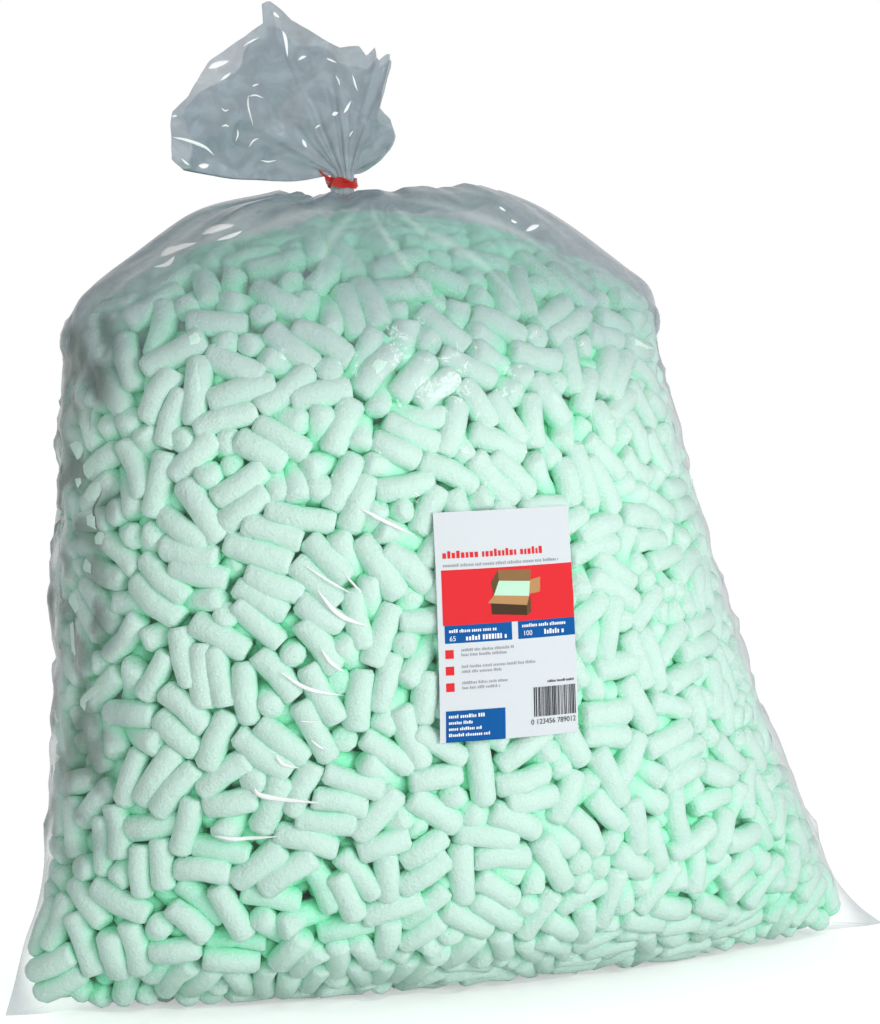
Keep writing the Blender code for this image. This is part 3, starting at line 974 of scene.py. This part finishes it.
class BAG_OT_add_peanuts(bpy.types.Operator):
    """Fill the bag with foam peanuts that press against the film"""

    bl_idname = "bag.add_peanuts"
    bl_label = "Add Peanuts"

    def execute(self, context):
        settings = context.scene.bag_peanuts
        room = Room()
        middles, axes, lengths = pack_peanuts(room, settings)
        depth = room.sample(middles)[0]
        outer = depth < OUTER_DEPTH
        foam = foam_material("green_foam", settings, 0.0)
        # The pores' end faces are painted darker, as shade in the hole.
        pore = foam_material("foam_pore", settings, 0.3)
        fine, coarse = model_peanut(10, (0.0,)), model_peanut(7, ())
        groups = (
            ("outer_peanuts_front", outer & (middles[:, 1] < 0), fine),
            ("outer_peanuts_back", outer & (middles[:, 1] >= 0), fine),
            ("inner_peanuts", ~outer & (depth < SHOWN_DEPTH), coarse),
        )
        for number, (name, chosen, model) in enumerate(groups):
            rods = (middles[chosen], axes[chosen], lengths[chosen])
            points, tones = peanut_copies(model, *rods, settings.diameter / 2, settings.seed + number)
            piece = copies_mesh(model, name, points)
            store(piece.data, "depth", room.sample(points.reshape(-1, 3))[0])
            store(piece.data, "tone", np.repeat(tones, points.shape[1]))
            piece.data.materials.append(foam)
            piece.data.materials.append(pore)
            dress(piece, name, "green_foam", "peanut_fill")
        for model in (fine, coarse):
            bpy.data.objects.remove(model)
        reach = np.linspace(-0.44, 0.44, HEAP_POINTS)[None] * lengths[:, None]
        beads = (middles[:, None] + axes[:, None] * reach[..., None])[outer]
        HEAP["beads"] = beads.reshape(-1, 3)
        return {"FINISHED"}


class BAG_OT_add_film(bpy.types.Operator):
    """Add the clear film: the filled body, the tied neck and the ruffle above it"""

    bl_idname = "bag.add_film"
    bl_label = "Add Film"

    def execute(self, context):
        if "beads" not in HEAP:
            raise RuntimeError("Add the peanuts before the film.")
        settings = context.scene.bag_film
        radius = context.scene.bag_peanuts.diameter / 2
        points, haze, dusk = film_points(settings, HEAP["beads"], radius)
        film, row, column = moved_grid(points, closed=True)
        store(film.data, "haze", haze[row, column])
        store(film.data, "dusk", dusk[row, column])
        store(film.data, "rim", 0.15 + 0.85 * smooth_step(points[row, column, 2], 0.01, 0.08))
        close_seams(film)
        film.data.materials.append(film_material("clear_film", settings.haze_colour, 0.09, 0.62))
        film.visible_shadow = False
        film.visible_diffuse = False
        dress(film, "bag_film", "clear_film", "film_bag")
        return {"FINISHED"}


class BAG_OT_add_folds(bpy.types.Operator):
    """Add the sharp pressed folds on the film, with highlights painted white along them"""

    bl_idname = "bag.add_folds"
    bl_label = "Add Folds"

    def execute(self, context):
        tree = film_tree(context)
        made = []
        strips = [(1.0, *fold) for fold in (*BODY_FOLD_HIGHLIGHTS, *RUFFLE_FOLD_HIGHLIGHTS)]
        strips += [(PLEAT_STRENGTH, *fold) for fold in PLEATS]
        for strength, width, line in strips:
            obj, row, column = moved_grid(fold_strip(tree, line, width))
            middle = 1 - np.abs(column / column.max() * 2 - 1)
            # How white each strip is painted as a highlight: full along a fold's middle, faint along a pleat.
            store(obj.data, "cover", strength * middle * np.sin(math.pi * row / row.max()) ** 0.6)
            made.append(obj)
        for obj in made:
            obj.select_set(True)
        bpy.ops.object.join()
        folds = bpy.context.object
        bpy.ops.object.shade_smooth()
        folds.data.materials.append(fold_highlight_material())
        place_at_origin(folds)
        dress(folds, "film_folds", "clear_film")
        return {"FINISHED"}


def place_at_origin(obj):
    """Moves an object's place into its mesh."""
    deselect_all()
    obj.select_set(True)
    bpy.context.view_layer.objects.active = obj
    bpy.ops.object.transform_apply(location=True, rotation=True, scale=True)


# Print on the label: every place is a share of its width and of its height, from its top left corner.
# Lines of small type as (left, right, top, bottom, colour).
TYPE_LINES = (
    (0.050, 0.790, 0.168, 0.200, "label_red"),
    (0.050, 0.900, 0.223, 0.237, "label_grey"),
    (0.075, 0.410, 0.507, 0.522, "label_white"),
    (0.190, 0.480, 0.536, 0.558, "label_white"),
    (0.595, 0.930, 0.503, 0.518, "label_white"),
    (0.760, 0.910, 0.532, 0.554, "label_white"),
    (0.155, 0.540, 0.592, 0.605, "label_grey"),
    (0.155, 0.490, 0.613, 0.626, "label_grey"),
    (0.155, 0.690, 0.664, 0.677, "label_grey"),
    (0.155, 0.440, 0.686, 0.699, "label_grey"),
    (0.155, 0.480, 0.735, 0.748, "label_grey"),
    (0.155, 0.430, 0.757, 0.770, "label_grey"),
    (0.770, 0.975, 0.757, 0.768, "label_black"),
    (0.060, 0.310, 0.878, 0.894, "label_white"),
    (0.060, 0.230, 0.907, 0.921, "label_white"),
    (0.060, 0.290, 0.934, 0.948, "label_white"),
    (0.060, 0.350, 0.961, 0.975, "label_white"),
)
# Plain fields of colour as (left, right, top, bottom, colour).
COLOUR_FIELDS = (
    (0.035, 1.000, 0.250, 0.490, "label_red"),
    (0.045, 0.520, 0.490, 0.568, "label_blue"),
    (0.565, 1.000, 0.490, 0.568, "label_blue"),
    (0.045, 0.103, 0.596, 0.634, "label_red"),
    (0.045, 0.103, 0.668, 0.706, "label_red"),
    (0.045, 0.103, 0.740, 0.778, "label_red"),
    (0.040, 0.455, 0.862, 1.000, "label_blue"),
)
# The open carton on the red field: corners of each wall, flap and what lies in it.
CARTON_FACES = (
    ("carton_shade", ((0.375, 0.400), (0.638, 0.420), (0.636, 0.466), (0.379, 0.452))),
    ("carton_dark", ((0.638, 0.420), (0.668, 0.378), (0.668, 0.452), (0.636, 0.466))),
    ("carton_brown", ((0.434, 0.262), (0.678, 0.267), (0.670, 0.322), (0.438, 0.310))),
    ("carton_dark", ((0.380, 0.313), (0.434, 0.262), (0.438, 0.310), (0.397, 0.372))),
    ("carton_fill", ((0.438, 0.308), (0.668, 0.318), (0.656, 0.384), (0.397, 0.371))),
    ("carton_tan", ((0.668, 0.312), (0.747, 0.303), (0.739, 0.367), (0.660, 0.374))),
    ("carton_tan", ((0.397, 0.370), (0.656, 0.383), (0.637, 0.422), (0.352, 0.402))),
)
NUMBERS = (
    ("65", 0.075, 0.536, 0.558, "label_white"),
    ("100", 0.600, 0.532, 0.554, "label_white"),
    ("0 123456 789012", 0.640, 0.925, 0.948, "label_black"),
)
BARS = (0.664, 0.982, 0.785, 0.915)
PRINT_COLOURS = {
    "label_white": (0.86, 0.89, 0.91),
    "label_grey": (0.36, 0.38, 0.40),
    "label_black": (0.035, 0.035, 0.04),
    "carton_shade": (0.060, 0.034, 0.018),
    "carton_dark": (0.130, 0.075, 0.032),
    "carton_brown": (0.265, 0.150, 0.062),
    "carton_tan": (0.480, 0.270, 0.115),
    "carton_fill": (0.52, 0.80, 0.62),
}
PAPER_COLOUR = (0.66, 0.71, 0.74)
PAPER_LIFT = 0.0006
PRINT_LIFT = 0.00012


def label_spots(tree, shares, lift):
    """Places on the front of the film for shares across and down the label."""
    settings = bpy.context.scene.bag_label
    shares = np.asarray(shares, float)
    side = (shares[..., 0] - 0.5) * settings.width
    up = (0.5 - shares[..., 1]) * settings.height
    cos, sin = math.cos(settings.lean), math.sin(settings.lean)
    x = LABEL_MIDDLE.x + side * cos - up * sin
    z = LABEL_MIDDLE.z + side * sin + up * cos
    spots = np.stack((x, np.zeros_like(x), z), -1)
    for spot in spots.reshape(-1, 3):
        spot[1] = front_of(tree, spot[0], spot[2]).y - lift
    return spots


def block(left, right, top, bottom):
    """The corners of an upright field, from its top left one."""
    return ((left, top), (right, top), (right, bottom), (left, bottom))


def type_blocks(left, right, top, bottom, rng):
    """Small blocks in groups, like a line of small type."""
    settings = bpy.context.scene.bag_label
    tall = bottom - top
    wide = tall * settings.height / settings.width * 0.46
    blocks = []
    place = left
    while place < right - wide:
        for _ in range(rng.integers(4, 10)):
            if place > right - wide:
                break
            low = top + tall * (0.0 if rng.random() < 0.35 else 0.26)
            own = wide * rng.uniform(0.6, 1.1)
            blocks.append(block(place, place + own, low, bottom))
            place += own + wide * 0.45
        place += wide * 0.9
    return blocks


def bar_blocks(left, right, top, bottom, rng):
    """Bars of uneven width side by side."""
    blocks = []
    place = left
    while place < right:
        wide = (right - left) * rng.choice((0.010, 0.014, 0.022, 0.030))
        blocks.append(block(place, place + wide, top, bottom))
        place += wide + (right - left) * rng.choice((0.010, 0.016, 0.024))
    return blocks


def print_material(name, colour):
    nodes = material_nodes(name)
    look = {"Base Color": rgba(colour), "Roughness": 0.45, "Specular IOR Level": 0.15}
    return nodes.surface(nodes.add("BsdfPrincipled", look))


def print_piece(tree, name, colour, blocks, cells, lift):
    """One colour of print: a flat patch modelled once and laid on the label for every block."""
    deselect_all()
    bpy.ops.mesh.primitive_grid_add(
        x_subdivisions=cells, y_subdivisions=cells, size=1.0, location=(0.5, 0.5, 0)
    )
    model = bpy.context.object
    place_at_origin(model)
    plain = points_of(model.data)
    across, down = plain[None, :, 0, None], 1 - plain[None, :, 1, None]
    first, second, third, fourth = np.array(blocks)[:, :, None].transpose(1, 0, 2, 3)
    upper = first * (1 - across) + second * across
    lower = fourth * (1 - across) + third * across
    shares = upper * (1 - down) + lower * down
    piece = copies_mesh(model, name, label_spots(tree, shares, lift))
    bpy.data.objects.remove(model)
    piece.data.materials.append(print_material(name, colour))
    return piece


def number_piece(tree, words, left, top, bottom, colour, name):
    """A plain number set in type and laid on the label."""
    settings = bpy.context.scene.bag_label
    deselect_all()
    bpy.ops.object.text_add()
    text = bpy.context.object
    text.data.body = words
    text.data.size = 1.4 * (bottom - top) * settings.height
    bpy.ops.object.convert(target="MESH")
    spots = points_of(text.data)
    shares = np.stack((left + spots[:, 0] / settings.width, bottom - spots[:, 1] / settings.height), -1)
    move_points(text.data, label_spots(tree, shares, PAPER_LIFT + 3 * PRINT_LIFT))
    text.name = name
    text.data.materials.append(print_material(name, colour))
    return text


class BAG_OT_add_label(bpy.types.Operator):
    """Add the paper label on the front of the film, with its print"""

    bl_idname = "bag.add_label"
    bl_label = "Add Label"

    def execute(self, context):
        settings = context.scene.bag_label
        rng = np.random.default_rng(4)
        tree = film_tree(context)
        colours = {**PRINT_COLOURS, "label_red": settings.red, "label_blue": settings.blue}
        paper = print_piece(tree, "paper_label", PAPER_COLOUR, [block(0, 1, 0, 1)], 36, PAPER_LIFT)
        dress(paper, "paper_label", "label_paper", "front_label")
        lift = PAPER_LIFT + PRINT_LIFT
        fields, words = {}, {}
        for *sides, colour in COLOUR_FIELDS:
            fields.setdefault(colour, []).append(block(*sides))
        for *sides, colour in TYPE_LINES:
            words.setdefault(colour, []).extend(type_blocks(*sides, rng))
        words["label_black"] += bar_blocks(*BARS, rng)
        for colour, blocks in fields.items():
            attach(print_piece(tree, f"{colour}_fields", colours[colour], blocks, 24, lift), "root")
        for colour, blocks in words.items():
            above = lift + PRINT_LIFT
            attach(print_piece(tree, f"{colour}_type", colours[colour], blocks, 1, above), "root")
        for number, (colour, corners) in enumerate(CARTON_FACES):
            name = f"{colour}_{number}"
            above = lift + PRINT_LIFT * (1 + 0.2 * number)
            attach(print_piece(tree, name, colours[colour], (corners,), 2, above), "root")
        for number, (digits, left, top, bottom, colour) in enumerate(NUMBERS):
            name = f"label_number_{number}"
            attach(number_piece(tree, digits, left, top, bottom, colours[colour], name), "root")
        return {"FINISHED"}


# The tie's strip: steps round the neck and in its free end, how far it climbs and falls, and how far
# its end reaches.
TIE_STEPS = 72
TAIL_STEPS = 12
TIE_CLIMB = 0.0020
TAIL_REACH = 0.009


def tie_strip(settings):
    """Rows of points across the strip, from its free end at the left round the neck."""
    radius = NECK_RADIUS + settings.thickness * 0.7
    up = Vector((0, 0, 1))
    rows = []
    for step in range(-TAIL_STEPS, TIE_STEPS + 1):
        wound = max(step, 0)
        past = (step - wound) / TAIL_STEPS
        share = wound / TIE_STEPS
        angle = 2 * math.pi * settings.turns * (share - 0.5) + 1.35 * math.pi
        outward = Vector((math.cos(angle), math.sin(angle), 0))
        along = Vector((-math.sin(angle), math.cos(angle), 0))
        layer = settings.thickness * 1.15 * share * settings.turns
        pinch = 0.0005 * math.sin(7 * angle + 1)
        centre = NECK + up * TIE_CLIMB * math.sin(2.2 * angle) + outward * (radius + layer + pinch)
        centre += (along * past + (outward * 0.9 + up * 1.1) * abs(past) ** 1.3) * TAIL_REACH
        twist = 0.5 * math.sin(3 * angle) + 2.2 * past
        wide = (up * math.cos(twist) + outward * math.sin(twist) * 0.6).normalized()
        half = settings.width / 2 * (1 - 0.35 * abs(past)) * (1 + 0.12 * math.sin(5 * angle))
        rows.append([centre + wide * half * side for side in np.linspace(-1, 1, 5)])
    return np.array(rows)


def tie_material(colour):
    """Glossy strip, darker in fine streaks."""
    nodes = material_nodes("red_tie")
    noise = nodes.add("TexNoise", {"Vector": nodes.coordinates(), "Scale": 600.0, "Detail": 3.0})
    tint = nodes.mix(noise, rgba(colour), rgba([part * 0.55 for part in colour]))
    bump = nodes.add("Bump", {"Height": noise, "Strength": 0.4, "Distance": 0.0004})
    return nodes.surface(nodes.add("BsdfPrincipled", {"Base Color": tint, "Roughness": 0.28, "Normal": bump}))


class BAG_OT_add_tie(bpy.types.Operator):
    """Add the red strip wound round the neck"""

    bl_idname = "bag.add_tie"
    bl_label = "Add Tie"

    def execute(self, context):
        settings = context.scene.bag_tie
        tie, _, _ = moved_grid(tie_strip(settings))
        wall = tie.modifiers.new("wall", "SOLIDIFY")
        wall.thickness = settings.thickness
        wall.offset = 0
        bpy.ops.object.modifier_apply(modifier="wall")
        bpy.ops.object.shade_smooth_by_angle(angle=math.radians(50))
        tie.data.materials.append(tie_material(settings.colour))
        dress(tie, "red_neck_tie", "red_tie", "neck_tie")
        return {"FINISHED"}


# Square lights as name, place and width, each with its power among the stage's settings.
LIGHTS = (
    ("key", (0.85, -2.45, 0.85), 1.0),
    ("fill", (0.05, -2.0, 0.22), 0.9),
    ("back", (0.3, 2.3, 1.0), 1.2),
    ("glint", (0.9, -2.3, 1.9), 0.35),
)
# How far the floor lies below the bag, its own colour, how much it glows for the eye, and the distances
# from the middle between which it fades to plain white.
FLOOR_DROP = 0.0015
FLOOR_COLOUR = (0.88, 0.88, 0.88)
FLOOR_GLOW = 0.47
FLOOR_FADE = (0.40, 0.80)


class BAG_OT_set_stage(bpy.types.Operator):
    """Set the camera, the lights, the floor and the white surroundings"""

    bl_idname = "bag.set_stage"
    bl_label = "Set Stage"

    def execute(self, context):
        settings = context.scene.bag_stage
        add_camera(settings.lens)
        for name, place, width in LIGHTS:
            add_light(name, place, width, getattr(settings, name))
        add_floor()
        add_sky(context.scene, settings.sky)
        context.scene.view_settings.view_transform = "Standard"
        return {"FINISHED"}


def add_camera(lens):
    deselect_all()
    bpy.ops.object.camera_add(
        location=CAMERA_PLACE, rotation=(math.pi / 2 - CAMERA_DIP, 0, -CAMERA_TURN)
    )
    camera = bpy.context.object
    camera.name = "photo_camera"
    camera.data.lens = lens
    camera.data.sensor_width = SENSOR_WIDTH
    bpy.context.scene.camera = camera


def add_light(name, place, width, power):
    """A square light on the bag; the glint is only mirrored, and the others only shine."""
    deselect_all()
    bpy.ops.object.light_add(type="AREA", location=place)
    light = bpy.context.object
    light.name = f"{name}_light"
    light.data.shape = "SQUARE"
    light.data.size = width
    light.data.energy = power
    light.rotation_euler = (AIM - Vector(place)).to_track_quat("-Z", "Y").to_euler()
    light.visible_glossy = name == "glint"
    light.visible_diffuse = name != "glint"


def seen_white(nodes):
    """1 for the eye and for mirrors, and 0 for the light that falls on things."""
    path = nodes.tree.nodes.new("ShaderNodeLightPath")
    seen = nodes.math("MAXIMUM", path.outputs["Is Camera Ray"], path.outputs["Is Glossy Ray"])
    return nodes.math("MAXIMUM", seen, path.outputs["Is Transmission Ray"])


def add_floor():
    deselect_all()
    bpy.ops.mesh.primitive_plane_add(size=16, location=(0, 0, -FLOOR_DROP))
    floor = bpy.context.object
    floor.name = "studio_floor"
    place_at_origin(floor)
    nodes = material_nodes("studio_floor")
    seen = seen_white(nodes)
    distance = nodes.add("VectorMath", {0: nodes.coordinates()}, operation="LENGTH")
    far = nodes.fit(distance, *FLOOR_FADE)
    glow = nodes.math("MULTIPLY", seen, FLOOR_GLOW)
    shine = nodes.add("Emission", {"Color": (1, 1, 1, 1), "Strength": glow})
    plain = nodes.add("BsdfDiffuse", {"Color": rgba(FLOOR_COLOUR)})
    lit = nodes.add("AddShader", {0: plain, 1: shine})
    white = nodes.add("Emission", {"Color": (1, 1, 1, 1), "Strength": 1.0})
    share = nodes.math("MULTIPLY", far, seen)
    floor.data.materials.append(nodes.surface(nodes.add("MixShader", {0: share, 1: lit, 2: white})))


def add_sky(scene, strength):
    scene.world = bpy.data.worlds.new("white_studio")
    nodes = Nodes(scene.world)
    level = nodes.fit(seen_white(nodes), 0, 1, strength)
    nodes.surface(nodes.add("Background", {"Color": (1, 1, 1, 1), "Strength": level}))


class BAG_PT_panel(bpy.types.Panel):
    """Pieces of the bag and its studio"""

    bl_idname = "BAG_PT_panel"
    bl_label = "Packing Peanut Bag"
    bl_space_type = "VIEW_3D"
    bl_region_type = "UI"
    bl_category = "Bag"

    def draw(self, context):
        for operator in OPERATORS:
            self.layout.operator(operator.bl_idname)
        for name, group in SETTINGS.items():
            box = self.layout.box()
            for key in group.__annotations__:
                box.prop(getattr(context.scene, name), key)


OPERATORS = (
    BAG_OT_add_peanuts,
    BAG_OT_add_film,
    BAG_OT_add_folds,
    BAG_OT_add_label,
    BAG_OT_add_tie,
    BAG_OT_set_stage,
)
CLASSES = (*SETTINGS.values(), *OPERATORS, BAG_PT_panel)


def register():
    for cls in CLASSES:
        bpy.utils.register_class(cls)
    for name, group in SETTINGS.items():
        setattr(bpy.types.Scene, name, PointerProperty(type=group))


def unregister():
    for name in SETTINGS:
        delattr(bpy.types.Scene, name)
    for cls in reversed(CLASSES):
        bpy.utils.unregister_class(cls)


def main():
    register()
    bpy.ops.bag.add_peanuts()
    bpy.ops.bag.add_film()
    bpy.ops.bag.add_folds()
    bpy.ops.bag.add_label()
    bpy.ops.bag.add_tie()
    bpy.ops.bag.set_stage()
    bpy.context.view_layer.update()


if __name__ == "__main__":
    main()
